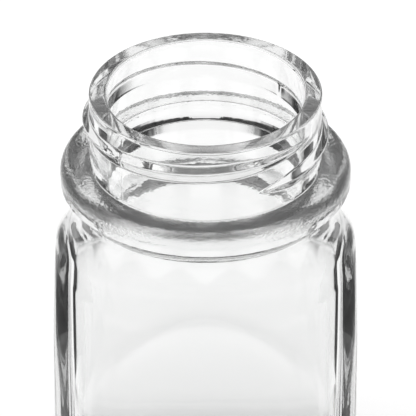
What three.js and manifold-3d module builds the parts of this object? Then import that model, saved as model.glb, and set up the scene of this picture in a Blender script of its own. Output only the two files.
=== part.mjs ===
// Square glass condiment shaker with its perforated screw lid taken off and laid beside it.
// Millimetres, +Z up. The origin is the centre of the jar's standing plane.
// The jar's axis is Z, its flat faces look along X and Y, and the lid lies on the +X side.
import * as THREE from 'three';
import { mergeVertices } from 'three/addons/utils/BufferGeometryUtils.js';
import Module from 'manifold-3d';

// Jar body: a square with rounded upright corners, standing on a flat ring round a hollow base.
const JAR_HEIGHT = 101;
const BODY_WIDTH = 58;
const CORNER_RADIUS = 12.5;
const WALL = 5.15;
const INNER_CORNER_RADIUS = 3.5;
const BASE_THICKNESS = 7;
const HEEL_RADIUS = 4;
const FLOOR_RADIUS = 10;
const RECESS_MARGIN = 5;
const RECESS_DEPTH = 1.4;

// Neck and mouth. Depths are measured down from the rim.
const NECK_RADIUS = 22;
const NECK_WALL = 3.3;
const LIP_OUTER_ROUND = 0.4;
const LIP_INNER_ROUND = 0.7;
const BORE_DEPTH = 18;
const THREAD_DEPTH = 1.35;

// Collar: a bead with a rounded top edge under the neck, then a plain band above the shoulder.
const COLLAR_STEP = 2.4;
const BEAD_REACH = 3.2;
const BEAD_TOP_DEPTH = 14.8;
const BEAD_HEIGHT = 4.6;
const BEAD_TOP_ROUND = 2.2;
const BEAD_FOOT_ROUND = 0.8;
const COLLAR_LENGTH = 5.4;
const COLLAR_WALL = 4.6;

// Shoulder: a cove under the collar runs into a domed form that the square body cuts.
const CROWN_DROP = 1.2;
const DOME_HEIGHT = 29;
const DOME_CENTRE_RADIUS = 15;
const COVE_REACH = 3;
const ARCH_SHARPNESS = 75;
const INNER_ARCH_SHARPNESS = 38;
// Height above the dome's foot where the shoulder is as thick as the flat faces.
const FULL_WALL_RISE = 20;

// Lid: one piece of sheet, sized from the neck that it screws on to.
const LID_SHEET = 0.6;
const LID_CLEARANCE = 0.4;
const LID_BEAD_GAP = 1.4;
const LID_EDGE_RADIUS = 2;
const LID_CURL_RADIUS = 1.1;
const LID_DOME_INSET = 1.4;
const LID_DOME_RISE = 3.2;
const HOLE_RADIUS = 1.6;
const HOLE_RING_STEP = 5.2;
const HOLE_RINGS = 2;
const LID_TO_JAR = 25;

// Facets.
const FLAT_STEPS = 8;
const CORNER_STEPS = 10;
const SHOULDER_STEPS = 10;
const ROUND_STEPS = 3;
const BEAD_STEPS = 4;
const LID_SEGMENTS = 48;
const HOLE_SIDES = 12;

// Sizes that follow from the ones above.
const half = BODY_WIDTH / 2;
const mouthRadius = NECK_RADIUS - NECK_WALL;
const collarRadius = NECK_RADIUS + COLLAR_STEP;
const collarInner = collarRadius - COLLAR_WALL;
const beadRadius = collarRadius + BEAD_REACH;
const beadBottomDepth = BEAD_TOP_DEPTH + BEAD_HEIGHT;
const collarEndDepth = beadBottomDepth + COLLAR_LENGTH;
const domeCentreDepth = collarEndDepth + CROWN_DROP + DOME_HEIGHT;

// Directions round the axis: the eight spans between the ends of the flats and of the corners,
// closer together in the middle of each corner, where the tighter inner corner is.
function directions() {
  const flatEnd = Math.atan2(half - CORNER_RADIUS, half);
  const list = [];
  for (let side = 0; side < 4; side += 1) {
    const middle = side * Math.PI / 2;
    for (let i = 0; i < FLAT_STEPS; i += 1) {
      list.push(middle + flatEnd * (2 * i / FLAT_STEPS - 1));
    }
    const halfSpan = Math.PI / 4 - flatEnd;
    for (let i = 0; i < CORNER_STEPS; i += 1) {
      const share = 2 * i / CORNER_STEPS - 1;
      list.push(middle + Math.PI / 4 + halfSpan * (share + share ** 3) / 2);
    }
  }
  return list;
}

const ANGLES = directions();

// Distance from the axis to the edge of a rounded square, in one direction.
function squareReach(halfWidth, corner, angle) {
  const c = Math.abs(Math.cos(angle));
  const s = Math.abs(Math.sin(angle));
  const flat = halfWidth / Math.max(c, s);
  const centre = halfWidth - corner;
  if (flat * Math.min(c, s) <= centre) {
    return flat;
  }
  const along = centre * (c + s);
  return along + Math.sqrt(along * along - 2 * centre * centre + corner * corner);
}

// A round ring of points at one height.
function roundRing(radius, z) {
  return ANGLES.map((a) => new THREE.Vector3(radius * Math.cos(a), radius * Math.sin(a), z));
}

// A ring of the square body outside, drawn in from its full width by an inset.
function squareRing(inset, z) {
  return outlineRing((a) => squareReach(half - inset, Math.max(CORNER_RADIUS - inset, 1), a), z);
}

// A ring of the hollow inside, drawn in from the face of the wall by an inset.
function hollowRing(inset, z) {
  const corner = Math.max(INNER_CORNER_RADIUS, inset);
  return outlineRing((a) => squareReach(half - WALL - inset, corner, a), z);
}

// A ring whose distance from the axis is given for each direction.
function outlineRing(reachAt, z) {
  return ANGLES.map((a) => {
    const reach = reachAt(a);
    return new THREE.Vector3(reach * Math.cos(a), reach * Math.sin(a), z);
  });
}

// The smaller of a round form and a square one, with the edge between them softened. This arches
// the top of each flat face.
function softLess(radius, reach, sharpness) {
  return radius / Math.pow(1 + Math.pow(radius / reach, sharpness), 1 / sharpness);
}

// Closed skin from a bottom point through a stack of rings to an end point.
function loft(startPoint, rings, endPoint) {
  const count = ANGLES.length;
  const points = [startPoint, ...rings.flat(), endPoint];
  const end = points.length - 1;
  const index = [];
  for (let i = 0; i < count; i += 1) {
    const j = (i + 1) % count;
    index.push(0, 1 + j, 1 + i);
    for (let k = 0; k < rings.length - 1; k += 1) {
      const low = 1 + k * count;
      const high = low + count;
      index.push(low + i, low + j, high + j);
      index.push(low + i, high + j, high + i);
    }
    const last = 1 + (rings.length - 1) * count;
    index.push(end, last + i, last + j);
  }
  const geometry = new THREE.BufferGeometry().setFromPoints(points);
  geometry.setIndex(index);
  return geometry;
}

// Shoulder line from the corners of the body up to the end of the collar. Each entry has the
// radius and depth of a point outside and of the point inside, one thickness of glass away.
function shoulderLine() {
  const cornerReach = squareReach(half, CORNER_RADIUS, Math.PI / 4);
  const cornerWall = cornerReach - squareReach(half - WALL, INNER_CORNER_RADIUS, Math.PI / 4);
  const across = cornerReach - DOME_CENTRE_RADIUS;
  const coveEnd = Math.acos((collarRadius + COVE_REACH - DOME_CENTRE_RADIUS) / across);
  const coveDepth = domeCentreDepth - DOME_HEIGHT * Math.sin(coveEnd);
  const slope = DOME_HEIGHT * Math.cos(coveEnd) / (across * Math.sin(coveEnd));
  const line = [];
  const add = (radius, depth, outward, upward) => {
    const scale = glassAt(depth, cornerWall) / Math.hypot(outward, upward);
    line.push({
      outer: [radius, depth],
      inner: [radius - scale * outward, depth + scale * upward],
    });
  };
  for (let i = 0; i <= SHOULDER_STEPS; i += 1) {
    const t = coveEnd * i / SHOULDER_STEPS;
    const radius = DOME_CENTRE_RADIUS + across * Math.cos(t);
    const depth = domeCentreDepth - DOME_HEIGHT * Math.sin(t);
    add(radius, depth, Math.cos(t) / across, Math.sin(t) / DOME_HEIGHT);
  }
  const cove = new THREE.QuadraticBezierCurve(
    new THREE.Vector2(collarRadius + COVE_REACH, coveDepth),
    new THREE.Vector2(collarRadius, coveDepth - slope * COVE_REACH),
    new THREE.Vector2(collarRadius, collarEndDepth),
  );
  for (let i = 1; i <= 2 * ROUND_STEPS; i += 1) {
    const point = cove.getPoint(i / (2 * ROUND_STEPS));
    const run = cove.getTangent(i / (2 * ROUND_STEPS));
    add(point.x, point.y, -run.y, -run.x);
  }
  return line;
}

// Thickness of the glass at one depth in the shoulder.
function glassAt(depth, cornerWall) {
  const fullDepth = domeCentreDepth - FULL_WALL_RISE;
  if (depth > fullDepth) {
    return THREE.MathUtils.lerp(WALL, cornerWall, (depth - fullDepth) / FULL_WALL_RISE);
  }
  const share = (depth - collarEndDepth) / (fullDepth - collarEndDepth);
  return THREE.MathUtils.lerp(COLLAR_WALL, WALL, share);
}

// Glass jar: one skin from the middle of the base, up the outside, over the lip and down the
// inside to the middle of the floor.
function glassJar() {
  const rim = JAR_HEIGHT;
  const rings = [];
  const recessRadius = half - HEEL_RADIUS - RECESS_MARGIN;
  for (let i = 1; i <= ROUND_STEPS; i += 1) {
    const share = i / ROUND_STEPS;
    rings.push(roundRing(recessRadius * share, RECESS_DEPTH * (1 - share * share)));
  }
  for (let i = 0; i <= ROUND_STEPS; i += 1) {
    const turn = Math.PI / 2 * i / ROUND_STEPS;
    rings.push(squareRing(HEEL_RADIUS * (1 - Math.sin(turn)), HEEL_RADIUS * (1 - Math.cos(turn))));
  }
  const shoulder = shoulderLine();
  shoulder.forEach(({ outer: [r, depth] }) => {
    const reachAt = (a) => softLess(r, squareReach(half, CORNER_RADIUS, a), ARCH_SHARPNESS);
    rings.push(outlineRing(reachAt, rim - depth));
  });
  rings.push(roundRing(collarRadius, rim - beadBottomDepth));
  for (let i = 0; i <= ROUND_STEPS; i += 1) {
    const turn = Math.PI / 2 * i / ROUND_STEPS;
    const r = beadRadius - BEAD_FOOT_ROUND * (1 - Math.sin(turn));
    rings.push(roundRing(r, rim - beadBottomDepth + BEAD_FOOT_ROUND * (1 - Math.cos(turn))));
  }
  for (let i = 0; i <= BEAD_STEPS; i += 1) {
    const turn = Math.PI / 2 * i / BEAD_STEPS;
    const r = beadRadius - BEAD_TOP_ROUND * (1 - Math.cos(turn));
    rings.push(roundRing(r, rim - BEAD_TOP_DEPTH - BEAD_TOP_ROUND * (1 - Math.sin(turn))));
  }
  rings.push(roundRing(NECK_RADIUS, rim - BEAD_TOP_DEPTH));
  for (let i = 0; i <= ROUND_STEPS; i += 1) {
    const turn = Math.PI / 2 * i / ROUND_STEPS;
    const r = NECK_RADIUS - LIP_OUTER_ROUND * (1 - Math.cos(turn));
    rings.push(roundRing(r, rim - LIP_OUTER_ROUND * (1 - Math.sin(turn))));
  }
  for (let i = 0; i <= ROUND_STEPS; i += 1) {
    const turn = Math.PI / 2 * i / ROUND_STEPS;
    const r = mouthRadius + LIP_INNER_ROUND * (1 - Math.sin(turn));
    rings.push(roundRing(r, rim - LIP_INNER_ROUND * (1 - Math.cos(turn))));
  }
  const boreEdge = collarInner - mouthRadius;
  for (let i = 0; i <= ROUND_STEPS; i += 1) {
    const turn = Math.PI / 2 * i / ROUND_STEPS;
    const r = mouthRadius + boreEdge * (1 - Math.cos(turn));
    rings.push(roundRing(r, rim - BORE_DEPTH - boreEdge * Math.sin(turn)));
  }
  shoulder.reverse().forEach(({ inner: [r, depth] }) => {
    const corner = INNER_CORNER_RADIUS;
    const reachAt = (a) => softLess(r, squareReach(half - WALL, corner, a), INNER_ARCH_SHARPNESS);
    rings.push(outlineRing(reachAt, rim - depth));
  });
  for (let i = 0; i <= ROUND_STEPS; i += 1) {
    const turn = Math.PI / 2 * i / ROUND_STEPS;
    const z = BASE_THICKNESS + FLOOR_RADIUS * (1 - Math.sin(turn));
    rings.push(hollowRing(FLOOR_RADIUS * (1 - Math.cos(turn)), z));
  }
  return loft(new THREE.Vector3(0, 0, RECESS_DEPTH), rings, new THREE.Vector3(0, 0, BASE_THICKNESS));
}

// Solids for cutting.
const wasm = await Module();
wasm.setup();

function toSolid(geometry) {
  const bare = geometry.clone();
  bare.deleteAttribute('normal');
  bare.deleteAttribute('uv');
  const merged = mergeVertices(bare, 1e-5);
  const vertProperties = new Float32Array(merged.attributes.position.array);
  const triVerts = new Uint32Array(merged.index.array);
  return new wasm.Manifold(new wasm.Mesh({ numProp: 3, vertProperties, triVerts }));
}

function toGeometry(solid) {
  const mesh = solid.getMesh();
  const geometry = new THREE.BufferGeometry();
  geometry.setAttribute('position', new THREE.BufferAttribute(new Float32Array(mesh.vertProperties), 3));
  geometry.setIndex(new THREE.BufferAttribute(new Uint32Array(mesh.triVerts), 1));
  return geometry;
}

// Quarter turn of a rounded edge in the lid's section.
function quarter(line, cx, cz, radius, from) {
  for (let i = 0; i <= ROUND_STEPS; i += 1) {
    const turn = from - Math.PI / 2 * i / ROUND_STEPS;
    line.push(new THREE.Vector2(cx + radius * Math.cos(turn), cz + radius * Math.sin(turn)));
  }
}

// Screw lid: sheet with a domed top, a rounded edge, a plain skirt and a curled rim at the foot.
function shakerLid() {
  const inner = NECK_RADIUS + THREAD_DEPTH + LID_CLEARANCE;
  const outer = inner + LID_SHEET;
  const seat = BEAD_TOP_DEPTH - LID_BEAD_GAP;
  const top = seat + LID_SHEET;
  const domeRadius = mouthRadius - LID_DOME_INSET;
  const domeSphere = (domeRadius * domeRadius + LID_DOME_RISE * LID_DOME_RISE) / (2 * LID_DOME_RISE);
  const domeTurn = Math.asin(domeRadius / domeSphere);
  const innerEdge = LID_EDGE_RADIUS - LID_SHEET / 2;
  const line = [];
  for (let i = 0; i <= 2 * ROUND_STEPS; i += 1) {
    const turn = domeTurn * i / (2 * ROUND_STEPS);
    const drop = domeSphere * (1 - Math.cos(turn));
    line.push(new THREE.Vector2(domeSphere * Math.sin(turn), top + LID_DOME_RISE - drop));
  }
  quarter(line, outer - LID_EDGE_RADIUS, top - LID_EDGE_RADIUS, LID_EDGE_RADIUS, Math.PI / 2);
  quarter(line, outer, LID_CURL_RADIUS, LID_CURL_RADIUS, Math.PI / 2);
  quarter(line, outer, LID_CURL_RADIUS, LID_CURL_RADIUS, 0);
  line.push(new THREE.Vector2(inner, 0));
  const underside = [];
  quarter(underside, inner - innerEdge, seat - innerEdge, innerEdge, Math.PI / 2);
  underside.reverse().forEach((p) => line.push(p));
  for (let i = 2 * ROUND_STEPS; i >= 0; i -= 1) {
    const turn = domeTurn * i / (2 * ROUND_STEPS);
    const drop = domeSphere * (1 - Math.cos(turn));
    line.push(new THREE.Vector2(domeSphere * Math.sin(turn), seat + LID_DOME_RISE - drop));
  }
  const section = line.filter((p, i) => i === 0 || p.distanceTo(line[i - 1]) > 1e-4);
  section[0].x = 0;
  section[section.length - 1].x = 0;
  const shell = new THREE.LatheGeometry(section.reverse(), LID_SEGMENTS);
  shell.rotateX(Math.PI / 2);
  let solid = toSolid(shell);
  holePlaces().forEach(([x, y]) => {
    const drill = new THREE.CylinderGeometry(HOLE_RADIUS, HOLE_RADIUS, 2 * top, HOLE_SIDES);
    drill.rotateX(Math.PI / 2);
    drill.translate(x, y, top + LID_DOME_RISE);
    solid = solid.subtract(toSolid(drill));
  });
  return toGeometry(solid);
}

// Pouring holes: one in the middle, then six more in each ring outwards.
function holePlaces() {
  const places = [[0, 0]];
  for (let ring = 1; ring <= HOLE_RINGS; ring += 1) {
    for (let i = 0; i < 6 * ring; i += 1) {
      const turn = 2 * Math.PI * i / (6 * ring);
      places.push([ring * HOLE_RING_STEP * Math.cos(turn), ring * HOLE_RING_STEP * Math.sin(turn)]);
    }
  }
  return places;
}

const shaker = new THREE.Group();

const jar = new THREE.Mesh(
  glassJar(),
  new THREE.MeshStandardMaterial({
    color: 0xe8eceb, roughness: 0.04, metalness: 0, transparent: true, opacity: 0.35,
  }),
);
jar.name = 'glass_jar';
shaker.add(jar);

const lid = new THREE.Mesh(
  shakerLid(),
  new THREE.MeshStandardMaterial({ color: 0xc4c6c8, roughness: 0.25, metalness: 1 }),
);
lid.name = 'shaker_lid';
const lidReach = NECK_RADIUS + THREAD_DEPTH + LID_CLEARANCE + LID_SHEET + LID_CURL_RADIUS;
lid.position.set(half + LID_TO_JAR + lidReach, 0, 0);
shaker.add(lid);

export default shaker;
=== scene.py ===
"""Square glass condiment shaker, with its perforated screw lid laid beside it.

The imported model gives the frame. The jar and the lid are drawn again here as fine meshes on
the same sizes, with the moulded thread of the neck and the rolled thread of the lid.
"""

import math

import bpy
import numpy as np
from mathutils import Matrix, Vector
from mathutils.geometry import delaunay_2d_cdt


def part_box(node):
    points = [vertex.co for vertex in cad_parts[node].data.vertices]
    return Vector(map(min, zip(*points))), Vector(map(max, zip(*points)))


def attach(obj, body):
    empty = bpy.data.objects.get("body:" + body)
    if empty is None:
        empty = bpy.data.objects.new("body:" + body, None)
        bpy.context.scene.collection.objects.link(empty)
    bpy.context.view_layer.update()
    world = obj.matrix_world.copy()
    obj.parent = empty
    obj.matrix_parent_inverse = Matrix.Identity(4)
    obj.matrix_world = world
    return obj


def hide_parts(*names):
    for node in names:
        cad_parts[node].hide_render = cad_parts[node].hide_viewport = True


bl_info = {
    "name": "Square glass shaker",
    "version": (1, 0, 0),
    "blender": (4, 5, 0),
    "location": "3D View > Sidebar > Shaker",
    "description": "Makes a moulded square glass shaker jar and its perforated screw lid",
    "category": "Add Mesh",
}

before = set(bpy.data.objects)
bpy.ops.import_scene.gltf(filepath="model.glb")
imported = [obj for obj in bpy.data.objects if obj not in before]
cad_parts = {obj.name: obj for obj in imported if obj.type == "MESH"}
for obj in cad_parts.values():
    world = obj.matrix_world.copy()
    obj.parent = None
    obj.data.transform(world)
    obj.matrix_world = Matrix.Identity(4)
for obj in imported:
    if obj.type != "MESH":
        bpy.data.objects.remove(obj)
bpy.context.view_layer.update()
JAR_LOW, JAR_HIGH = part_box("glass_jar")
LID_LOW, LID_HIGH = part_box("shaker_lid")
MM = 0.001
JAR_SIDES = 384
LID_SIDES = 192
HOLE_SIDES = 40
QUARTER = np.linspace(0.0, math.pi / 2, 9)

# Sharpness of the edge where the dome meets the body's faces, outside and inside
OUTER_EDGE = 48.0
INNER_EDGE = 38.0
# Reach of the mould seam to each side, and of the dip that it leaves in the thread
SEAM_SPREAD = math.radians(0.4)
SEAM_DIP = math.radians(1.6)
# Angles over which the thread grows and runs out, and how blunt both ends are: 1 is a wedge
THREAD_GROWTH = 0.35
THREAD_RUN_OUT = 0.8
THREAD_BLUNTNESS = 0.7
# The thread's upper flank, then the foot and the gentler slope of its lower flank
UPPER_FLANK = 1 / 0.66
LOWER_FOOT = 1.3
LOWER_FLANK = 0.704
LOWER_CREASE = 0.084
GRAIN_SEED = 7
# The photograph's lens, in millimetres on a 36 mm sensor, with its aim and distance
CAMERA_LENS = 453.46
CAMERA_AIM = Vector((0.47, 0.0, 75.0)) * MM
CAMERA_DISTANCE = 1.0
FLOOR_HALF = 4.0


def length(name, description, default):
    """A length property, with its default given in millimetres."""
    return bpy.props.FloatProperty(
        name=name, description=description, default=default * MM, min=0.0,
        subtype="DISTANCE", unit="LENGTH", precision=5,
    )


def turn(name, description, default):
    """An angle property, with its default given in degrees."""
    return bpy.props.FloatProperty(
        name=name, description=description, default=math.radians(default),
        subtype="ANGLE", unit="ROTATION",
    )


def share(name, description, default):
    """A plain number from 0 to 1."""
    return bpy.props.FloatProperty(
        name=name, description=description, default=default, min=0.0, max=1.0, subtype="FACTOR",
    )


def colour(name, description, default):
    """A linear colour."""
    return bpy.props.FloatVectorProperty(
        name=name, description=description, default=default, size=3, min=0.0, max=1.0,
        subtype="COLOR",
    )


class JarSizes(bpy.types.PropertyGroup):
    """Sizes of the glass jar. Depths are measured down from the rim."""

    body_width: length("Body width", "Across the flat faces", (JAR_HIGH.y - JAR_LOW.y) / MM)
    height: length("Height", "From the standing plane to the rim", JAR_HIGH.z / MM)
    corner_radius: length("Corner radius", "Rounding of the upright corners", 12.5)
    wall: length("Wall", "Thickness of the glass in the flat faces", 5.15)
    inner_corner: length("Inner corner", "Rounding of the upright corners inside", 3.5)
    base_thickness: length("Base thickness", "Glass under the floor of the jar", 7.0)
    heel_radius: length("Heel radius", "Rounding where the faces meet the base", 4.0)
    floor_radius: length("Floor radius", "Rounding inside, where the walls meet the floor", 10.0)
    recess_margin: length("Recess margin", "Flat ring round the hollow of the base", 5.0)
    recess_depth: length("Recess depth", "Hollow under the base", 1.4)
    neck_radius: length("Neck radius", "Outside of the neck, under the thread", 22.0)
    neck_wall: length("Neck wall", "Thickness of the glass in the neck", 3.3)
    lip_outer: length("Outer lip", "Rounding of the rim's outer edge", 0.4)
    lip_inner: length("Inner lip", "Rounding of the rim's inner edge", 0.7)
    bore_depth: length("Bore depth", "Straight part of the mouth", 17.3)
    collar_step: length("Collar step", "Collar beyond the neck", 2.4)
    collar_wall: length("Collar wall", "Thickness of the glass in the collar", 4.6)
    collar_length: length("Collar length", "Plain band under the bead", 5.4)
    bead_reach: length("Bead reach", "Bead beyond the collar", 3.2)
    bead_top: length("Bead depth", "Top of the bead", 14.8)
    bead_height: length("Bead height", "Height of the bead", 4.6)
    bead_round: length("Bead round", "Rounding of the bead's upper edge", 2.2)
    bead_foot: length("Bead foot", "Rounding under the bead", 0.35)
    bead_fall: length("Bead fall", "Drop of the bead's underside towards the collar", 3.2)
    crown_drop: length("Crown drop", "Top of the dome below the collar", 1.2)
    dome_height: length("Dome height", "Height of the shoulder's dome", 29.0)
    dome_centre: length("Dome centre", "Distance from the axis to the dome's own centre", 15.0)
    cove_reach: length("Cove reach", "Width of the hollow under the collar", 3.0)
    full_wall: length("Full wall rise", "Height above the dome's foot where the wall is full", 20.0)
    thread_rise: length("Thread rise", "Thread beyond the neck", 1.35)
    thread_half: length("Thread half height", "Half the height of the thread at its root", 1.75)
    thread_pitch: length("Thread pitch", "Climb of the thread in one turn", 6.0)
    thread_depth: length("Thread depth", "Middle of the thread on the +X side", 9.1)
    thread_start: turn("Thread start", "Where the thread's lower end begins", -62.0)
    thread_end: turn("Thread end", "Where the thread's upper end runs out", 332.0)
    seam_place: turn("Seam place", "Where the two mould halves meet", 45.0)
    seam_rise: length("Seam rise", "Height of the mould seam", 0.008)
    grain: length("Grain", "Unevenness of the chilled glass on the bead", 0.02)


class LidSizes(bpy.types.PropertyGroup):
    """Sizes of the screw lid."""

    outer: length("Skirt radius", "Outside of the plain skirt", 24.35)
    sheet: length("Sheet", "Thickness of the sheet", 0.6)
    seat: length("Seat height", "Underside of the top, above the table", 13.4)
    edge: length("Edge radius", "Rounding between the top and the skirt", 2.0)
    curl: length("Curl radius", "Curl at the foot of the skirt", 1.1)
    dome_radius: length("Dome radius", "Reach of the domed middle", 17.3)
    dome_rise: length("Dome rise", "Height of the domed middle", 3.2)
    hole: length("Hole radius", "Pouring holes", 1.6)
    hole_step: length("Hole step", "Distance between the rings of holes", 5.2)
    hole_edge: length("Hole edge", "Rounding of the holes' edges", 0.16)
    groove: length("Groove depth", "Depth of the rolled thread", 0.75)
    groove_half: length("Groove half height", "Half the height of the rolled thread", 1.5)
    groove_start: length("Groove start", "Height of the rolled thread's lower end", 3.9)


class Finishes(bpy.types.PropertyGroup):
    """Colours and finishes."""

    glass: colour("Glass", "Clear glass", (0.998, 0.999, 0.998))
    glass_streak: colour("Glass streaks", "Faint streaks in the glass", (0.984, 0.989, 0.987))
    glass_grain: share("Glass grain", "Strength of the fine unevenness of the glass", 0.5)
    steel: colour("Steel", "Bare stainless sheet", (0.66, 0.66, 0.65))
    steel_worn: colour("Worn steel", "Handled stainless sheet", (0.52, 0.515, 0.5))
    floor: colour("Floor", "Pale studio floor", (0.86, 0.86, 0.86))
    floor_fibre: colour("Floor fibres", "Fibres in the floor's paper", (0.85, 0.85, 0.85))


class StageSettings(bpy.types.PropertyGroup):
    """Place of the camera and level of the light."""

    camera_height: turn("Camera height", "Camera above the horizon", 32.6)
    floor_reach: length("Floor reach", "White floor that the glass and steel show", 100.0)
    floor_back: length("Floor back", "White floor behind, that the glass and steel show", 900.0)
    strip: length("Strip", "Scale of the white strips that run off from the jar's faces and corners", 30.0)
    floor_glow: share("Floor glow", "White added to the floor", 0.35)
    room: share("Room", "Dim room beyond the floor, seen through the glass", 0.02)
    gleam: share("Gleam", "The same room, mirrored by the glass and steel", 0.4)
    fill: share("Fill", "Even light from all round", 0.5)


def square_reach(half, corner, angle):
    """Distance from the axis to the edge of a rounded square, for each direction."""
    c, s = np.abs(np.cos(angle)), np.abs(np.sin(angle))
    flat = half / np.maximum(c, s)
    centre = half - corner
    along = centre * (c + s)
    inside = np.maximum(along * along - 2 * centre * centre + corner * corner, 0.0)
    return np.where(flat * np.minimum(c, s) <= centre, flat, along + np.sqrt(inside))


def soft_less(radius, reach, sharpness):
    """The smaller of two distances, with the edge between them softened."""
    return radius / (1 + (radius / reach) ** sharpness) ** (1 / sharpness)


def smooth_step(low, high, value):
    """0 below low and 1 above high, with an even curve between."""
    t = np.clip((value - low) / (high - low), 0.0, 1.0)
    return t * t * (3 - 2 * t)


def grain(angle, along, seed):
    """Random unevenness round the axis, near -1 to 1, at one place along the outline."""
    rng = np.random.default_rng(seed)
    count, spread = 60, 8.0
    waves = rng.integers(12, 130, count)
    climbs = rng.normal(0.0, 7.0, count) / MM
    phases = rng.uniform(0.0, 2 * math.pi, count)
    return np.cos(np.outer(angle, waves) + climbs * along + phases).sum(axis=1) / spread


def rows_to_faces(low, high):
    """Quads between two closed rows of vertex numbers."""
    return list(zip(low, np.roll(low, -1), np.roll(high, -1), high))


def new_piece(name, points, faces):
    """A smooth mesh object in the scene."""
    mesh = bpy.data.meshes.new(name)
    mesh.from_pydata(np.asarray(points).tolist(), [], [[int(i) for i in f] for f in faces])
    if mesh.validate():
        raise RuntimeError(name + " has faulty faces")
    mesh.shade_smooth()
    piece = bpy.data.objects.new(name, mesh)
    bpy.context.scene.collection.objects.link(piece)
    return piece


def seam_distance(jar, angle):
    """Angle from the nearer of the two mould seams."""
    return (angle - jar.seam_place + math.pi / 2) % math.pi - math.pi / 2


def jar_angles(jar):
    """Directions round the jar, closer together at the two mould seams."""
    even = np.arange(JAR_SIDES) * 2 * math.pi / JAR_SIDES
    even = even[np.abs(seam_distance(jar, even)) > math.radians(1.4)]
    near = jar.seam_place + np.radians(np.linspace(-1.2, 1.2, 15))
    return np.sort(np.concatenate([even, near, near + math.pi]))


def soft_least(*values, softness=0.06):
    """The least of several values, softened where they meet."""
    return -softness * np.log(sum(np.exp(-np.clip(v, -20.0, 20.0) / softness) for v in values))


def thread_swell(jar, angle, depth):
    """How far the moulded thread stands out of the neck, for each direction at one depth."""
    swell = np.zeros_like(angle)
    for lap in (-1, 0, 1):
        along = angle + lap * 2 * math.pi
        middle = jar.thread_depth - jar.thread_pitch * along / (2 * math.pi)
        size = np.clip((along - jar.thread_start) / THREAD_GROWTH, 0.0, 1.0) ** THREAD_BLUNTNESS
        size = size * np.clip((jar.thread_end - along) / THREAD_RUN_OUT, 0.0, 1.0) ** THREAD_BLUNTNESS
        off = (depth - middle) / (jar.thread_half * np.maximum(size, 1e-3))
        foot = np.minimum(LOWER_FOOT * (1 - off), LOWER_CREASE + LOWER_FLANK * (1 - off))
        ridge = soft_least((off + 1) * UPPER_FLANK, foot, np.ones_like(off))
        above = -soft_least(-ridge, np.zeros_like(off))
        swell = np.maximum(swell, jar.thread_rise * size * above)
    return swell * (1 - 0.5 * np.exp(-(seam_distance(jar, angle) / SEAM_DIP) ** 2))


def shoulder_lines(jar):
    """Radius and depth along the shoulder, from the corners up to the collar: outside, inside."""
    half = jar.body_width / 2
    collar = jar.neck_radius + jar.collar_step
    collar_end = jar.bead_top + jar.bead_height + jar.collar_length
    foot = collar_end + jar.crown_drop + jar.dome_height
    diagonal = np.array([math.pi / 4])
    corner = square_reach(half, jar.corner_radius, diagonal)[0]
    corner_wall = corner - square_reach(half - jar.wall, jar.inner_corner, diagonal)[0]
    across = corner - jar.dome_centre
    cove_end = math.acos((collar + jar.cove_reach - jar.dome_centre) / across)
    t = np.linspace(0.0, cove_end, 56)
    dome = np.stack([jar.dome_centre + across * np.cos(t), foot - jar.dome_height * np.sin(t)], axis=1)
    slope = jar.dome_height * math.cos(cove_end) / (across * math.sin(cove_end))
    knee = np.array([collar, dome[-1, 1] - slope * jar.cove_reach])
    t = np.linspace(0.0, 1.0, 19)[1:, None]
    cove = (1 - t) ** 2 * dome[-1] + 2 * t * (1 - t) * knee + t * t * np.array([collar, collar_end])
    outside = np.concatenate([dome, cove])
    run = np.gradient(outside, axis=0)
    run[0] = run[-1] = (0.0, -1.0)
    run /= np.linalg.norm(run, axis=1)[:, None]
    depths = [collar_end, foot - jar.full_wall, foot]
    glass = np.interp(outside[:, 1], depths, [jar.collar_wall, jar.wall, corner_wall])
    inside = outside + glass[:, None] * np.stack([run[:, 1], -run[:, 0]], axis=1)
    return outside, inside


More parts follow.
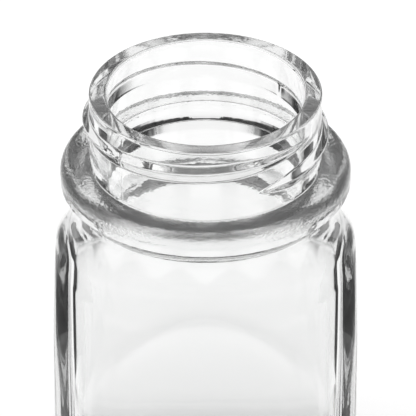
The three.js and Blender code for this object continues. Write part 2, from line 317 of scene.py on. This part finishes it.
class JarSkin:
    """The jar's skin, as rings: up the outside, over the lip and down the inside."""

    def __init__(self, jar):
        self.jar = jar
        self.angle = jar_angles(jar)
        self.rim = jar.height
        self.collar = jar.neck_radius + jar.collar_step
        self.mouth = jar.neck_radius - jar.neck_wall
        self.seam = jar.seam_rise * np.exp(-(seam_distance(jar, self.angle) / SEAM_SPREAD) ** 2)
        self.outside, self.inside = shoulder_lines(jar)
        self.rings = []

    def ring(self, radius, z, rough=0.0, upward=0.0):
        """Add a ring. A rough one is uneven along the direction that the outline faces there."""
        radius = np.broadcast_to(radius, self.angle.shape)
        z = np.broadcast_to(z, self.angle.shape)
        if rough:
            off = rough * self.jar.grain * grain(self.angle, z[0] - radius[0], GRAIN_SEED)
            radius = radius + off * math.cos(upward)
            z = z + off * math.sin(upward)
        self.rings.append(np.stack([radius * np.cos(self.angle), radius * np.sin(self.angle), z], axis=1))

    def body(self, inset):
        """Outside of the square body, set in from its faces."""
        jar = self.jar
        return square_reach(jar.body_width / 2 - inset, max(jar.corner_radius - inset, 1 * MM), self.angle)

    def hollow(self, inset):
        """Inside of the square body, set in from its walls."""
        jar = self.jar
        return square_reach(jar.body_width / 2 - jar.wall - inset, max(jar.inner_corner, inset), self.angle)

    def base(self):
        """Hollow of the base, the flat ring that it stands on and the heel."""
        jar = self.jar
        recess = jar.body_width / 2 - jar.heel_radius - jar.recess_margin
        for s in np.linspace(0.12, 1.0, 9):
            self.ring(recess * s, jar.recess_depth * (1 - s * s))
        for s in (0.35, 0.7):
            self.ring(recess + (self.body(jar.heel_radius) - recess) * s, 0.0)
        for t in QUARTER:
            self.ring(self.body(jar.heel_radius * (1 - math.sin(t))), jar.heel_radius * (1 - math.cos(t)))

    def outer_shoulder(self):
        """Flat faces up to the dome's foot, and the shoulder up to the collar."""
        face, low, high = self.body(0.0), self.jar.heel_radius, self.rim - self.outside[0, 1]
        first = soft_less(self.outside[0, 0], face, OUTER_EDGE)
        for s in np.linspace(0.0, 1.0, 14)[1:-1]:
            self.ring(face + (first - face) * s, low + (high - low) * s)
        for radius, depth in self.outside:
            fade = smooth_step(4.0, 0.0, (depth - self.outside[-1, 1]) / MM)
            self.ring(soft_less(radius, face, OUTER_EDGE) + self.seam * fade, self.rim - depth)

    def bead(self):
        """Collar, then the bead: sloped underside, upright side and rounded top."""
        jar, rim, collar, seam = self.jar, self.rim, self.collar, self.seam
        collar_end, low = self.outside[-1, 1], jar.bead_top + jar.bead_height
        for s in np.linspace(0.0, 0.97, 9)[1:]:
            z = rim - collar_end + (collar_end - low - jar.bead_fall) * s
            self.ring(collar + seam, z, rough=0.5 * s)
        edge = collar + jar.bead_reach
        slope = math.atan2(jar.bead_fall, jar.bead_reach)
        for s in np.linspace(0.0, 1.0, 16)[1:-1]:
            radius = collar + (edge - jar.bead_foot * (1 - math.sin(slope)) - collar) * s
            self.ring(radius, rim - low - jar.bead_fall * (1 - s), rough=0.7, upward=-1.1)
        for t in np.linspace(slope, math.pi / 2, 9):
            z = rim - low + jar.bead_foot * (1 - math.cos(t))
            radius = edge - jar.bead_foot * (1 - math.sin(t)) + seam
            self.ring(radius, z, rough=1.0, upward=t - math.pi / 2)
        side = jar.bead_height - jar.bead_foot - jar.bead_round
        for s in np.linspace(0.0, 1.0, 12)[1:-1]:
            self.ring(edge + seam, rim - low + jar.bead_foot + side * s, rough=1.0)
        for t in np.linspace(0.0, math.pi / 2, 25):
            z = rim - jar.bead_top - jar.bead_round * (1 - math.sin(t))
            radius = edge - jar.bead_round * (1 - math.cos(t)) + seam * math.cos(t)
            self.ring(radius, z, rough=1 - 0.5 * t, upward=t)

    def neck(self):
        """Flat top of the bead, the fillet at the neck's root and the threaded neck."""
        jar, rim = self.jar, self.rim
        root = 0.3 * MM
        start = self.collar + jar.bead_reach - jar.bead_round
        for s in (0.25, 0.5, 0.75):
            radius = start + (jar.neck_radius + root - start) * s
            self.ring(radius, rim - jar.bead_top, rough=0.5 * (1 - s), upward=1.5)
        for t in QUARTER[::2]:
            z = rim - jar.bead_top + root * (1 - math.cos(t))
            self.ring(jar.neck_radius + root * (1 - math.sin(t)), z)
        for depth in np.linspace(jar.bead_top - root, jar.lip_outer, 104)[1:-1]:
            fade = smooth_step(0.0, 1.0, np.float64((depth - jar.lip_outer) / MM))
            rough = 0.08 + 0.14 * smooth_step(7.0, 11.0, np.float64(depth / MM))
            swell = thread_swell(jar, self.angle, depth)
            self.ring(jar.neck_radius + swell + self.seam * fade, rim - depth, rough)

    def mouth_bore(self):
        """Rounded lip, the straight bore and the rounded edge where the inside opens out."""
        jar, rim, mouth = self.jar, self.rim, self.mouth
        for t in QUARTER:
            radius = jar.neck_radius - jar.lip_outer * (1 - math.cos(t))
            self.ring(radius, rim - jar.lip_outer * (1 - math.sin(t)))
        for t in QUARTER:
            radius = mouth + jar.lip_inner * (1 - math.sin(t))
            self.ring(radius, rim - jar.lip_inner * (1 - math.cos(t)))
        for depth in np.linspace(jar.lip_inner, jar.bore_depth, 24)[1:]:
            rough = 0.7 * smooth_step(14.0, 17.5, np.float64(depth / MM))
            self.ring(mouth, rim - depth, rough)
        ledge = self.collar - jar.collar_wall - mouth
        for t in QUARTER[1:]:
            z = rim - jar.bore_depth - ledge * math.sin(t)
            self.ring(mouth + ledge * (1 - math.cos(t)), z, rough=0.7, upward=-t)
        z = rim - jar.bore_depth - ledge
        for s in (0.008, 0.03, 0.1, 0.3, 0.6):
            self.ring(mouth + ledge, z + (rim - self.inside[-1, 1] - z) * s)

    def inner_shoulder(self):
        """Inside of the shoulder and the walls, down to the rounded floor."""
        jar, wall = self.jar, self.hollow(0.0)
        for radius, depth in self.inside[::-1]:
            self.ring(soft_less(radius, wall, INNER_EDGE), self.rim - depth)
        first = soft_less(self.inside[0, 0], wall, INNER_EDGE)
        top, low = self.rim - self.inside[0, 1], jar.base_thickness + jar.floor_radius
        for s in np.linspace(0.0, 1.0, 12)[1:-1]:
            self.ring(first + (wall - first) * s, top + (low - top) * s)
        for t in np.linspace(0.0, math.pi / 2, 17):
            z = jar.base_thickness + jar.floor_radius * (1 - math.sin(t))
            self.ring(self.hollow(jar.floor_radius * (1 - math.cos(t))), z)
        for s in np.linspace(1.0, 0.1, 8)[1:]:
            self.ring(self.hollow(jar.floor_radius) * s, jar.base_thickness)


def jar_rings(jar):
    """Rings of the jar's skin, in order."""
    skin = JarSkin(jar)
    skin.base()
    skin.outer_shoulder()
    skin.bead()
    skin.neck()
    skin.mouth_bore()
    skin.inner_shoulder()
    return skin.rings


def jar_mesh(jar):
    """Points and faces of the jar: one closed skin."""
    rings = jar_rings(jar)
    count = len(rings[0])
    points = np.concatenate([[(0, 0, jar.recess_depth)], *rings, [(0, 0, jar.base_thickness)]])
    rows = 1 + np.arange(len(rings) * count).reshape(len(rings), count)
    end = len(points) - 1
    faces = [(0, j, i) for i, j in zip(rows[0], np.roll(rows[0], -1))]
    for low, high in zip(rows[:-1], rows[1:]):
        faces += rows_to_faces(low, high)
    faces += [(end, i, j) for i, j in zip(rows[-1], np.roll(rows[-1], -1))]
    return points, faces


def lid_top(lid, radius):
    """Height of the lid's upper surface: a dome that runs into a flat ring."""
    sphere = (lid.dome_radius ** 2 + lid.dome_rise ** 2) / (2 * lid.dome_rise)
    bulge = lid.dome_rise - sphere + np.sqrt(sphere ** 2 - radius ** 2)
    return lid.seat + lid.sheet + (bulge + np.sqrt(bulge ** 2 + (0.35 * MM) ** 2)) / 2


def hole_places(lid):
    """Middles of the pouring holes: one, then six more in each ring."""
    places = [(0.0, 0.0)]
    for ring in (1, 2):
        for t in np.arange(6 * ring) * 2 * math.pi / (6 * ring):
            places.append((ring * lid.hole_step * math.cos(t), ring * lid.hole_step * math.sin(t)))
    return np.array(places)


def circle(radius, count):
    """Points round a circle."""
    t = np.arange(count) * 2 * math.pi / count
    return radius * np.stack([np.cos(t), np.sin(t)], axis=1)


def perforated_disc(lid, reach):
    """Points, triangles and hole edges of the lid's flat top, in plan."""
    holes = hole_places(lid)
    rim = lid.hole + lid.hole_edge
    parts = [circle(reach, LID_SIDES)]
    parts += [place + circle(rim, HOLE_SIDES) for place in holes]
    step = 0.8 * MM
    for radius in np.arange(0.9 * MM, reach - 0.5 * MM, step):
        ring = circle(radius, max(6, round(2 * math.pi * radius / step)))
        gaps = np.linalg.norm(ring[:, None] - holes[None], axis=2).min(axis=1)
        parts.append(ring[gaps > rim + 0.35 * MM])
    points = np.concatenate(parts)
    loops = [np.arange(LID_SIDES)]
    loops += [LID_SIDES + n * HOLE_SIDES + np.arange(HOLE_SIDES) for n in range(len(holes))]
    edges = [(int(a), int(b)) for loop in loops for a, b in zip(loop, np.roll(loop, -1))]
    scaled = [Vector(p / MM) for p in points]
    made, _, faces, _, _, _ = delaunay_2d_cdt(scaled, edges, [], 0, 1e-6)
    if len(made) != len(points):
        raise RuntimeError("the lid's top was not cut as laid out")
    kept = []
    for face in faces:
        middle = points[list(face)].mean(axis=0)
        if np.linalg.norm(holes - middle, axis=1).min() > rim * 0.99:
            (ax, ay), (bx, by), (cx, cy) = points[list(face)]
            up = (bx - ax) * (cy - ay) - (by - ay) * (cx - ax) > 0
            kept.append(tuple(face) if up else tuple(face[::-1]))
    return points, kept, loops[1:]


def groove(lid, angle, z, pitch):
    """How far the rolled thread is pressed into the skirt, for each direction at one height."""
    depth = np.zeros_like(angle)
    for lap in (0, 1):
        along = angle + lap * 2 * math.pi
        off = (z - lid.groove_start - pitch * along / (2 * math.pi)) / lid.groove_half
        press = np.clip(1 - off * off, 0.0, 1.0) ** 1.5
        ends = smooth_step(0.0, 0.6, along) * (1 - smooth_step(6.6, 7.2, along))
        depth = np.maximum(depth, lid.groove * press * ends)
    return depth


def lid_skirt(lid, pitch, reach):
    """Rows of the lid beyond its flat top: over the edge, down, round the curl and up inside."""
    angle = np.arange(LID_SIDES) * 2 * math.pi / LID_SIDES
    top, inner = lid.seat + lid.sheet, lid.outer - lid.sheet
    round_in = lid.edge - lid.sheet / 2
    rows = []

    def row(radius, z):
        radius = np.broadcast_to(radius, angle.shape)
        level = np.full_like(angle, z)
        rows.append(np.stack([radius * np.cos(angle), radius * np.sin(angle), level], axis=1))

    middle = lid.outer - lid.edge
    row((reach + middle) / 2, top + (lid_top(lid, reach) - top) / 2)
    for t in QUARTER:
        row(middle + lid.edge * math.sin(t), top - lid.edge * (1 - math.cos(t)))
    heights = np.linspace(top - lid.edge, 2 * lid.curl + 0.35 * MM, 46)[1:]
    for z in heights:
        row(lid.outer - groove(lid, angle, z, pitch), z)
    row(lid.outer - 0.02 * MM, 2 * lid.curl + 0.12 * MM)
    row(lid.outer + 0.03 * MM, 2 * lid.curl - 0.12 * MM)
    for t in np.linspace(0.16, math.pi, 18):
        row(lid.outer + lid.curl * math.sin(t), lid.curl * (1 + math.cos(t)))
    row(inner + 0.3 * MM, 0.0)
    row(inner + 0.09 * MM, 0.09 * MM)
    row(inner, 0.3 * MM)
    for z in np.linspace(0.3 * MM, heights[-1], 8)[1:-1]:
        row(inner, z)
    for z in heights[::-1]:
        row(inner - groove(lid, angle, z, pitch), z)
    for t in QUARTER[::-1]:
        row(inner - round_in + round_in * math.sin(t), lid.seat - round_in * (1 - math.cos(t)))
    return rows


def lid_mesh(lid, pitch):
    """Points and faces of the lid: one closed skin, with the holes cut through."""
    reach = lid.outer - lid.edge - 0.9 * MM
    plan, triangles, loops = perforated_disc(lid, reach)
    high = np.column_stack([plan, lid_top(lid, np.linalg.norm(plan, axis=1))])
    low = high - np.array([0.0, 0.0, lid.sheet])
    points, faces = [high, low], list(triangles)
    count = len(plan)
    faces += [tuple(i + count for i in face[::-1]) for face in triangles]
    total = 2 * count
    last = np.arange(LID_SIDES)
    for row in lid_skirt(lid, pitch, reach):
        here = total + np.arange(LID_SIDES)
        faces += rows_to_faces(here, last)
        points.append(row)
        last, total = here, total + LID_SIDES
    faces += rows_to_faces(count + np.arange(LID_SIDES), last)
    edge = lid.hole_edge
    steps = [(edge * (1 - math.sin(t)), edge * (1 - math.cos(t))) for t in QUARTER[1::2]]
    steps += [(d, lid.sheet - h) for d, h in steps[::-1]]
    for place, loop in zip(hole_places(lid), loops):
        last = loop
        for out, down in steps:
            at = place + circle(lid.hole + out, HOLE_SIDES)
            z = lid_top(lid, np.linalg.norm(at, axis=1)) - down
            here = total + np.arange(HOLE_SIDES)
            faces += rows_to_faces(last, here)
            points.append(np.column_stack([at, z]))
            last, total = here, total + HOLE_SIDES
        faces += rows_to_faces(last, count + loop)
    return np.concatenate(points), faces


def effect(name, inputs, outputs):
    """A new shader effect with number sockets, and its ends."""
    tree = bpy.data.node_groups.new(name, "ShaderNodeTree")
    for socket, default in inputs:
        made = tree.interface.new_socket(socket, in_out="INPUT", socket_type="NodeSocketFloat")
        made.default_value = default
    for socket in outputs:
        tree.interface.new_socket(socket, in_out="OUTPUT", socket_type="NodeSocketFloat")
    return tree, tree.nodes.new("NodeGroupInput"), tree.nodes.new("NodeGroupOutput")


def feed(tree, socket, value):
    """Set a socket to a number, or link another socket to it."""
    if isinstance(value, bpy.types.NodeSocket):
        tree.links.new(value, socket)
    else:
        socket.default_value = value


def math_node(tree, operation, first, second=0.0):
    """One operation on sockets or numbers, and its result."""
    node = tree.nodes.new("ShaderNodeMath")
    node.operation = operation
    feed(tree, node.inputs[0], first)
    feed(tree, node.inputs[1], second)
    return node.outputs[0]


def range_node(tree, value, low, high, to_low, to_high, kind="LINEAR"):
    """A value moved from one range to another."""
    node = tree.nodes.new("ShaderNodeMapRange")
    node.interpolation_type = kind
    for socket, number in zip(("Value", "From Min", "From Max", "To Min", "To Max"),
                              (value, low, high, to_low, to_high)):
        feed(tree, node.inputs[socket], number)
    return node.outputs[0]


def soft_step(tree, value, low, high, to_low=0.0, to_high=1.0):
    """One number below low and another above high, with an even curve between."""
    return range_node(tree, value, low, high, to_low, to_high, "SMOOTHSTEP")


def noise_node(tree, place, scale, detail):
    """Noise at a place."""
    node = tree.nodes.new("ShaderNodeTexNoise")
    node.inputs["Detail"].default_value = detail
    tree.links.new(place, node.inputs["Vector"])
    feed(tree, node.inputs["Scale"], scale)
    return node.outputs["Fac"]


def own_place(tree):
    """A place on the piece, in its own coordinates."""
    return tree.nodes.new("ShaderNodeTexCoord").outputs["Object"]


def split_place(tree, place):
    """The X, Y and Z of a place."""
    split = tree.nodes.new("ShaderNodeSeparateXYZ")
    tree.links.new(place, split.inputs[0])
    return split.outputs


def join_place(tree, x, y, z=0.0):
    """A place from its X, Y and Z."""
    join = tree.nodes.new("ShaderNodeCombineXYZ")
    for socket, value in zip(join.inputs, (x, y, z)):
        feed(tree, socket, value)
    return join.outputs[0]


def axis_distance(tree, x, y):
    """Distance of a place from the piece's upright axis."""
    x2 = math_node(tree, "MULTIPLY", x, x)
    y2 = math_node(tree, "MULTIPLY", y, y)
    return math_node(tree, "SQRT", math_node(tree, "ADD", x2, y2))


def ripple_effect():
    """Fine unevenness over long soft waves."""
    inputs = [("Scale", 900.0), ("Wave share", 0.5), ("Stretch", 1.0)]
    tree, start, end = effect("ripple", inputs, ["Height"])
    at = split_place(tree, own_place(tree))
    place = join_place(tree, at["X"], at["Y"], math_node(tree, "MULTIPLY", at["Z"], start.outputs["Stretch"]))
    fine = noise_node(tree, place, start.outputs["Scale"], 3.0)
    long = noise_node(tree, place, math_node(tree, "MULTIPLY", start.outputs["Scale"], 0.14), 1.0)
    waves = math_node(tree, "MULTIPLY", long, start.outputs["Wave share"])
    tree.links.new(math_node(tree, "ADD", fine, waves), end.inputs["Height"])
    return tree


def haze_effect():
    """Patches left by handling, as a roughness and as a mask."""
    inputs = [("Scale", 60.0), ("Clean", 0.0), ("Worn", 0.02)]
    tree, start, end = effect("handling_haze", inputs, ["Roughness", "Mask"])
    cloud = noise_node(tree, own_place(tree), start.outputs["Scale"], 5.0)
    mask = soft_step(tree, cloud, 0.42, 0.68)
    rough = range_node(tree, mask, 0.0, 1.0, start.outputs["Clean"], start.outputs["Worn"])
    tree.links.new(mask, end.inputs["Mask"])
    tree.links.new(rough, end.inputs["Roughness"])
    return tree


def band_effect():
    """A level band round the outside of the piece, with soft edges."""
    inputs = [("Low", 0.0), ("High", 0.01), ("Soft", 0.002), ("Radius", 0.02)]
    tree, start, end = effect("level_band", inputs, ["Mask"])
    at = split_place(tree, own_place(tree))
    low, high, soft = (start.outputs[name] for name in ("Low", "High", "Soft"))
    rise = soft_step(tree, at["Z"], math_node(tree, "SUBTRACT", low, soft), low)
    fall = soft_step(tree, at["Z"], high, math_node(tree, "ADD", high, soft), 1.0, 0.0)
    radius = axis_distance(tree, at["X"], at["Y"])
    outside = math_node(tree, "GREATER_THAN", radius, start.outputs["Radius"])
    both = math_node(tree, "MULTIPLY", rise, fall)
    tree.links.new(math_node(tree, "MULTIPLY", both, outside), end.inputs["Mask"])
    return tree


def brushing_effect():
    """Fine turned lines round the axis."""
    tree, start, end = effect("turned_lines", [("Scale", 4000.0)], ["Height"])
    at = split_place(tree, own_place(tree))
    place = join_place(tree, axis_distance(tree, at["X"], at["Y"]), at["Z"])
    tree.links.new(noise_node(tree, place, start.outputs["Scale"], 2.0), end.inputs["Height"])
    return tree


def use_effect(tree, name, maker, **values):
    """An effect placed in a material."""
    node = tree.nodes.new("ShaderNodeGroup")
    node.node_tree = bpy.data.node_groups.get(name) or maker()
    for socket, value in values.items():
        node.inputs[socket.replace("_", " ")].default_value = value
    return node.outputs


def mix_colour(tree, mask, first, second):
    """A colour between two, by a mask. Each is a colour or a socket."""
    node = tree.nodes.new("ShaderNodeMix")
    node.data_type = "RGBA"
    tree.links.new(mask, node.inputs["Factor"])
    for name, value in (("A", first), ("B", second)):
        is_socket = isinstance(value, bpy.types.NodeSocket)
        feed(tree, node.inputs[name], value if is_socket else (*value, 1.0))
    return node.outputs["Result"]


def add_bump(tree, shader, height, strength, depth):
    """Unevenness on a shader's surface."""
    bump = tree.nodes.new("ShaderNodeBump")
    bump.inputs["Strength"].default_value = strength
    bump.inputs["Distance"].default_value = depth
    tree.links.new(height, bump.inputs["Height"])
    tree.links.new(bump.outputs["Normal"], shader.inputs["Normal"])


def glass_material(finish, jar):
    """Clear moulded glass, grainy on the chilled bead and faintly hazed by handling."""
    material = bpy.data.materials.new("clear_glass")
    material.use_nodes = True
    tree = material.node_tree
    shader = tree.nodes["Principled BSDF"]
    shader.inputs["IOR"].default_value = 1.52
    shader.inputs["Transmission Weight"].default_value = 1.0
    haze = use_effect(tree, "handling_haze", haze_effect, Scale=45.0, Clean=0.0, Worn=0.012)
    streaks = use_effect(tree, "ripple", ripple_effect, Scale=70.0, Wave_share=0.6)["Height"]
    mask = range_node(tree, streaks, 0.5, 1.0, 0.0, 1.0)
    tree.links.new(mix_colour(tree, mask, finish.glass, finish.glass_streak), shader.inputs["Base Color"])
    top = jar.height - jar.bead_top
    band = use_effect(tree, "level_band", band_effect, Low=top - jar.bead_round, High=top,
                      Soft=1 * MM, Radius=jar.neck_radius + 0.2 * MM)["Mask"]
    lip = use_effect(tree, "level_band", band_effect, Low=jar.height - 0.1 * MM, High=jar.height + 1 * MM,
                     Soft=0.1 * MM, Radius=0.0)["Mask"]
    bead_rough = math_node(tree, "MULTIPLY", band, 0.01)
    lip_rough = math_node(tree, "MULTIPLY", lip, 0.07)
    chill = math_node(tree, "ADD", bead_rough, lip_rough)
    tree.links.new(math_node(tree, "ADD", haze["Roughness"], chill), shader.inputs["Roughness"])
    fine = use_effect(tree, "ripple", ripple_effect, Scale=1500.0, Wave_share=0.8, Stretch=1.6)["Height"]
    amount = range_node(tree, band, 0.0, 1.0, 0.012, 1.0)
    height = math_node(tree, "MULTIPLY", fine, amount)
    add_bump(tree, shader, height, finish.glass_grain, 0.3 * MM)
    bulk = tree.nodes.new("ShaderNodeVolumeAbsorption")
    bulk.inputs["Color"].default_value = (0.0, 0.0, 0.0, 1.0)
    bulk.inputs["Density"].default_value = 5.0
    tree.links.new(bulk.outputs["Volume"], tree.nodes["Material Output"].inputs["Volume"])
    return material


def steel_material(finish):
    """Drawn stainless sheet with turned lines, dulled where it is handled."""
    material = bpy.data.materials.new("stainless_sheet")
    material.use_nodes = True
    tree = material.node_tree
    shader = tree.nodes["Principled BSDF"]
    shader.inputs["Metallic"].default_value = 1.0
    haze = use_effect(tree, "handling_haze", haze_effect, Scale=90.0, Clean=0.2, Worn=0.3)
    worn = mix_colour(tree, haze["Mask"], finish.steel, finish.steel_worn)
    tree.links.new(worn, shader.inputs["Base Color"])
    lines = use_effect(tree, "turned_lines", brushing_effect, Scale=4000.0)["Height"]
    streak = range_node(tree, lines, 0.3, 0.7, -0.05, 0.08)
    tree.links.new(math_node(tree, "ADD", haze["Roughness"], streak), shader.inputs["Roughness"])
    uneven = use_effect(tree, "ripple", ripple_effect, Scale=500.0, Wave_share=1.0)["Height"]
    height = math_node(tree, "ADD", lines, math_node(tree, "MULTIPLY", uneven, 0.6))
    add_bump(tree, shader, height, 0.12, 0.08 * MM)
    return material


def ways_of_seeing(tree):
    """Masks for what is seen through glass, in a mirrored way, and by the camera itself."""
    path = tree.nodes.new("ShaderNodeLightPath")
    through = path.outputs["Is Transmission Ray"]
    mirrored = math_node(tree, "GREATER_THAN", path.outputs["Is Glossy Ray"], through)
    return through, mirrored, path.outputs["Is Camera Ray"]


def white_strips(tree, first, second, width, start):
    """0 on two white strips that cross at the jar, from start outwards, and 1 elsewhere."""
    aside = soft_step(tree, math_node(tree, "MINIMUM", first, second), *width)
    close = soft_step(tree, math_node(tree, "MAXIMUM", first, second), *start, 1.0, 0.0)
    return math_node(tree, "MAXIMUM", aside, close)


def unlit_floor(tree, scene, through):
    """Painted shade on the floor, where the glass and steel show no white floor: 0 is white and 1 is unlit.

    The white floor is short in front and at the sides, long behind, and goes on in strips along
    the jar's faces and corners. Seen through the glass it also has a painted shadow under the jar.
    """
    stage, strip = scene.shaker_stage, scene.shaker_stage.strip
    # shadow is the strength of the painted shadow under the jar
    times_shorter, shadow = 1.7, 0.6
    # painted shade: beyond a short reach in front and at the sides, and a long reach behind, the floor is
    # painted unlit for the glass and steel, except along the white strips
    at = split_place(tree, own_place(tree))
    ahead = math_node(tree, "MULTIPLY", math_node(tree, "MINIMUM", at["Y"], 0.0), times_shorter)
    gap = axis_distance(tree, at["X"], ahead)
    unlit = soft_step(tree, gap, 0.65 * stage.floor_reach, 1.5 * stage.floor_reach)
    back = soft_step(tree, at["Y"], 0.9 * stage.floor_back, 1.1 * stage.floor_back)
    unlit = math_node(tree, "MAXIMUM", unlit, back)
    across = math_node(tree, "ABSOLUTE", math_node(tree, "ADD", at["X"], at["Y"]))
    along = math_node(tree, "ABSOLUTE", math_node(tree, "SUBTRACT", at["X"], at["Y"]))
    corners = white_strips(tree, across, along, (1.6 * strip, 2.2 * strip), (3.2 * strip, 5.0 * strip))
    unlit = math_node(tree, "MINIMUM", unlit, corners)
    wide, deep = math_node(tree, "ABSOLUTE", at["X"]), math_node(tree, "ABSOLUTE", at["Y"])
    faces = white_strips(tree, wide, deep, (1.2 * strip, 1.6 * strip), (3.0 * strip, 4.5 * strip))
    unlit = math_node(tree, "MINIMUM", unlit, faces)
    half = scene.shaker_jar.body_width / 2
    # painted shadow under the jar: the floor seen through the glass is darkened by a set share, not by any
    # lamp
    under = soft_step(tree, math_node(tree, "MAXIMUM", wide, deep), 0.6 * half, half, shadow, 0.0)
    return math_node(tree, "MAXIMUM", unlit, math_node(tree, "MULTIPLY", under, through))


def floor_material(scene):
    """Pale paper that the camera sees white. The glass and steel see it lit only in part: elsewhere its
    colour and glow are painted dark, as painted shade.
    """
    stage = scene.shaker_stage
    material = bpy.data.materials.new("studio_floor")
    material.use_nodes = True
    tree = material.node_tree
    shader = tree.nodes["Principled BSDF"]
    shader.inputs["Roughness"].default_value = 0.9
    shader.inputs["Specular IOR Level"].default_value = 0.0
    shader.inputs["Emission Color"].default_value = (1.0, 1.0, 1.0, 1.0)
    through, mirrored, camera = ways_of_seeing(tree)
    shown = math_node(tree, "MAXIMUM", through, mirrored)
    # the painted shade only applies to what the glass and steel see, never to the camera itself
    unlit = math_node(tree, "MULTIPLY", shown, unlit_floor(tree, scene, through))
    edge = range_node(tree, mirrored, 0.0, 1.0, stage.room, stage.gleam)
    level = range_node(tree, unlit, 0.0, 1.0, 1.0, edge)
    seen = math_node(tree, "MAXIMUM", shown, camera)
    glow = math_node(tree, "MULTIPLY", math_node(tree, "MULTIPLY", seen, level), stage.floor_glow)
    tree.links.new(glow, shader.inputs["Emission Strength"])
    fibres = noise_node(tree, own_place(tree), 60.0, 4.0)
    paper = mix_colour(tree, fibres, scene.shaker_finish.floor, scene.shaker_finish.floor_fibre)
    # painted shade: the paper's colour goes to black where the glass and steel see the floor unlit
    tree.links.new(mix_colour(tree, level, (0.0, 0.0, 0.0), paper), shader.inputs["Base Color"])
    return material


def make_floor(scene):
    """Wide level floor, just under the object, that keeps its shadow."""
    mesh = bpy.data.meshes.new("studio_floor")
    corners = [(-1, -1), (1, -1), (1, 1), (-1, 1)]
    mesh.from_pydata([(FLOOR_HALF * x, FLOOR_HALF * y, 0) for x, y in corners], [], [(0, 1, 2, 3)])
    mesh.materials.append(floor_material(scene))
    floor = bpy.data.objects.new("studio_floor", mesh)
    floor.location.z = -0.2 * MM
    scene.collection.objects.link(floor)


def make_light(scene):
    """Even fill, a dim room beyond the floor's edge, pale above, and one broad lamp overhead."""
    stage = scene.shaker_stage
    world = bpy.data.worlds.new("studio")
    scene.world = world
    world.use_nodes = True
    tree = world.node_tree
    background = tree.nodes["Background"]
    background.inputs["Color"].default_value = (1.0, 1.0, 1.0, 1.0)
    through, mirrored, camera = ways_of_seeing(tree)
    way = split_place(tree, tree.nodes.new("ShaderNodeTexCoord").outputs["Generated"])
    pale_from, pale_to = 0.36, 0.42
    pale = soft_step(tree, way["Z"], pale_from, pale_to, stage.gleam, 1.0)
    level = range_node(tree, through, 0.0, 1.0, stage.fill, stage.room)
    level = range_node(tree, mirrored, 0.0, 1.0, level, pale)
    tree.links.new(math_node(tree, "MAXIMUM", level, camera), background.inputs["Strength"])
    lamp = bpy.data.lights.new("softbox", "AREA")
    lamp.shape = "SQUARE"
    lamp.size = 1.2
    lamp.energy = 9.0
    box = bpy.data.objects.new("softbox", lamp)
    box.location = (-0.3, 0.1, 1.4)
    box.rotation_euler = (Vector((0, 0, 0.05)) - box.location).to_track_quat("-Z", "Y").to_euler()
    box.visible_transmission = False
    scene.collection.objects.link(box)


def make_camera(scene):
    """Camera at the photograph's place."""
    data = bpy.data.cameras.new("camera")
    data.sensor_width = 36.0
    data.lens = CAMERA_LENS
    data.clip_start, data.clip_end = 0.01, 100.0
    camera = bpy.data.objects.new("camera", data)
    elevation = scene.shaker_stage.camera_height
    back = Vector((0.0, -math.cos(elevation), math.sin(elevation)))
    camera.location = CAMERA_AIM + CAMERA_DISTANCE * back
    camera.rotation_euler = (-back).to_track_quat("-Z", "Y").to_euler()
    scene.collection.objects.link(camera)
    scene.camera = camera


class SHAKER_OT_glass_jar(bpy.types.Operator):
    """Make the moulded glass jar"""

    bl_idname = "shaker.glass_jar"
    bl_label = "Glass Jar"

    def execute(self, context):
        jar = context.scene.shaker_jar
        piece = new_piece("jar_glass", *jar_mesh(jar))
        piece.data.materials.append(glass_material(context.scene.shaker_finish, jar))
        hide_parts("glass_jar")
        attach(piece, "jar")
        return {"FINISHED"}


class SHAKER_OT_screw_lid(bpy.types.Operator):
    """Make the perforated screw lid"""

    bl_idname = "shaker.screw_lid"
    bl_label = "Screw Lid"

    def execute(self, context):
        scene = context.scene
        piece = new_piece("lid_steel", *lid_mesh(scene.shaker_lid, scene.shaker_jar.thread_pitch))
        piece.location = ((LID_LOW.x + LID_HIGH.x) / 2, (LID_LOW.y + LID_HIGH.y) / 2, LID_LOW.z)
        piece.data.materials.append(steel_material(scene.shaker_finish))
        context.view_layer.update()
        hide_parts("shaker_lid")
        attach(piece, "lid")
        return {"FINISHED"}


class SHAKER_OT_stage(bpy.types.Operator):
    """Make the floor, the light and the camera"""

    bl_idname = "shaker.stage"
    bl_label = "Stage"

    def execute(self, context):
        scene = context.scene
        scene.view_settings.view_transform = "Standard"
        scene.cycles.max_bounces = 48
        scene.cycles.glossy_bounces = 40
        scene.cycles.transmission_bounces = 40
        make_floor(scene)
        make_light(scene)
        make_camera(scene)
        return {"FINISHED"}


class SHAKER_PT_panel(bpy.types.Panel):
    """Operators of the shaker, in order"""

    bl_idname = "SHAKER_PT_panel"
    bl_label = "Glass Shaker"
    bl_space_type = "VIEW_3D"
    bl_region_type = "UI"
    bl_category = "Shaker"

    def draw(self, context):
        for name in ("shaker.glass_jar", "shaker.screw_lid", "shaker.stage"):
            self.layout.operator(name)


GROUPS = {
    "shaker_jar": JarSizes,
    "shaker_lid": LidSizes,
    "shaker_finish": Finishes,
    "shaker_stage": StageSettings,
}
CLASSES = (
    *GROUPS.values(), SHAKER_OT_glass_jar, SHAKER_OT_screw_lid, SHAKER_OT_stage, SHAKER_PT_panel,
)


def register():
    """Add the classes and the settings."""
    for cls in CLASSES:
        bpy.utils.register_class(cls)
    for name, group in GROUPS.items():
        setattr(bpy.types.Scene, name, bpy.props.PointerProperty(type=group))


def unregister():
    """Take the settings and the classes away."""
    for name in GROUPS:
        delattr(bpy.types.Scene, name)
    for cls in reversed(CLASSES):
        bpy.utils.unregister_class(cls)


def main():
    """Make every piece and the stage."""
    register()
    bpy.ops.shaker.glass_jar()
    bpy.ops.shaker.screw_lid()
    bpy.ops.shaker.stage()


if __name__ == "__main__":
    main()
